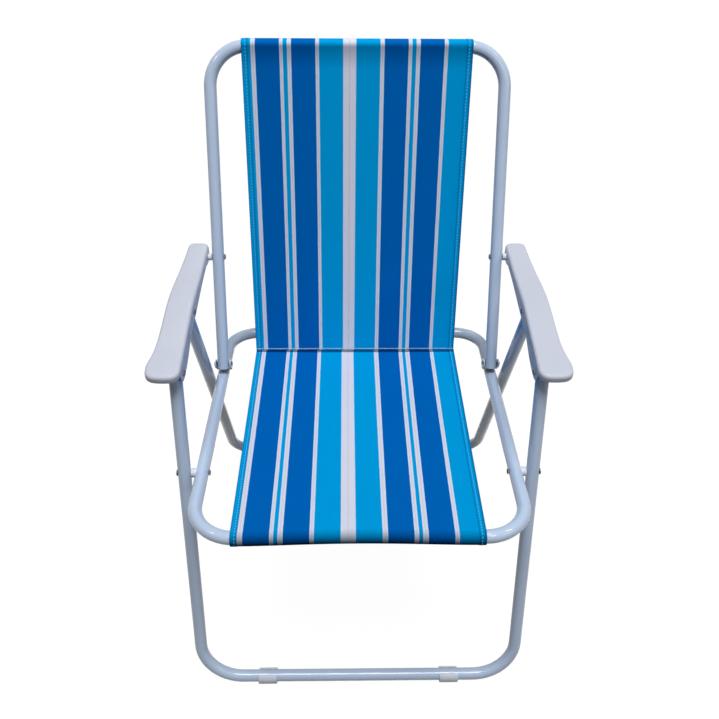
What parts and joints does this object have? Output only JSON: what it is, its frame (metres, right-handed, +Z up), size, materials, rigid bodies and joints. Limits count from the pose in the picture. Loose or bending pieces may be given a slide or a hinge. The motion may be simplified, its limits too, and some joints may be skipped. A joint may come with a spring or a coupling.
{
  "type": "folding webbed lawn chair",
  "caption": "Folding lawn chair with a tubular metal frame, moulded armrests and a striped cloth seat and back stretched between the bars.",
  "frame": {"origin": "centre of the overall box at floor height", "axes": "+X across the chair to the right of someone who faces its front, +Y from the front to the back, +Z up from the floor"},
  "size_m": [0.5448, 0.5599, 0.7886],
  "materials": {
    "tube": "gloss",
    "white_plastic": "satin",
    "rivet": "satin",
    "seat_cloth": "matt",
    "back_cloth": "matt"
  },
  "bodies": {
    "seat": {"seat_frame": "tube", "seat_frame_sleeve": "tube", "seat_panel": "seat_cloth", "left_hinge_bracket": "tube", "right_hinge_bracket": "tube", "left_hinge_rivet": "rivet", "right_hinge_rivet": "rivet", "left_leg_rivet": "rivet", "right_leg_rivet": "rivet", "left_leg_spacer": "white_plastic", "right_leg_spacer": "white_plastic"},
    "back": {"back_frame": "tube", "back_panel": "back_cloth", "back_panel_foot": "back_cloth"},
    "armrests": {"left_armrest": "white_plastic", "right_armrest": "white_plastic", "left_armrest_front_rivet": "rivet", "left_armrest_middle_rivet": "rivet", "left_armrest_rear_rivet": "rivet", "left_armrest_spacer": "white_plastic", "right_armrest_front_rivet": "rivet", "right_armrest_middle_rivet": "rivet", "right_armrest_rear_rivet": "rivet", "right_armrest_spacer": "white_plastic"},
    "front_leg": {"front_leg": "tube", "left_front_glide": "white_plastic", "right_front_glide": "white_plastic"},
    "rear_leg": {"rear_leg": "tube", "left_rear_glide": "white_plastic", "right_rear_glide": "white_plastic"}
  },
  "joints": [
    {"name": "back_fold", "type": "hinge", "parent": "seat", "child": "back", "pos_m": [0, 0.07327, 0.35401], "axis": [-1, 0, 0], "range_deg": [0, 60], "deforming": ["back_panel_foot"]},
    {"name": "front_leg_fold", "type": "hinge", "parent": "seat", "child": "front_leg", "pos_m": [0, -0.14815, 0.3536], "axis": [-1, 0, 0], "range_deg": [0, 65]},
    {"name": "armrest_fold", "type": "hinge", "parent": "back", "child": "armrests", "pos_m": [0, 0.14466, 0.50829], "axis": [-1, 0, 0], "range_deg": [-57, 0]},
    {"name": "rear_leg_fold", "type": "hinge", "parent": "armrests", "child": "rear_leg", "pos_m": [0, 0.0067, 0.51084], "axis": [-1, 0, 0], "range_deg": [0, 89]}
  ],
  "couplings": [
    {"joint": "front_leg_fold", "follows": "back_fold", "ratio": 1.073},
    {"joint": "armrest_fold", "follows": "back_fold", "ratio": -0.937},
    {"joint": "rear_leg_fold", "follows": "back_fold", "ratio": 1.467}
  ]
}
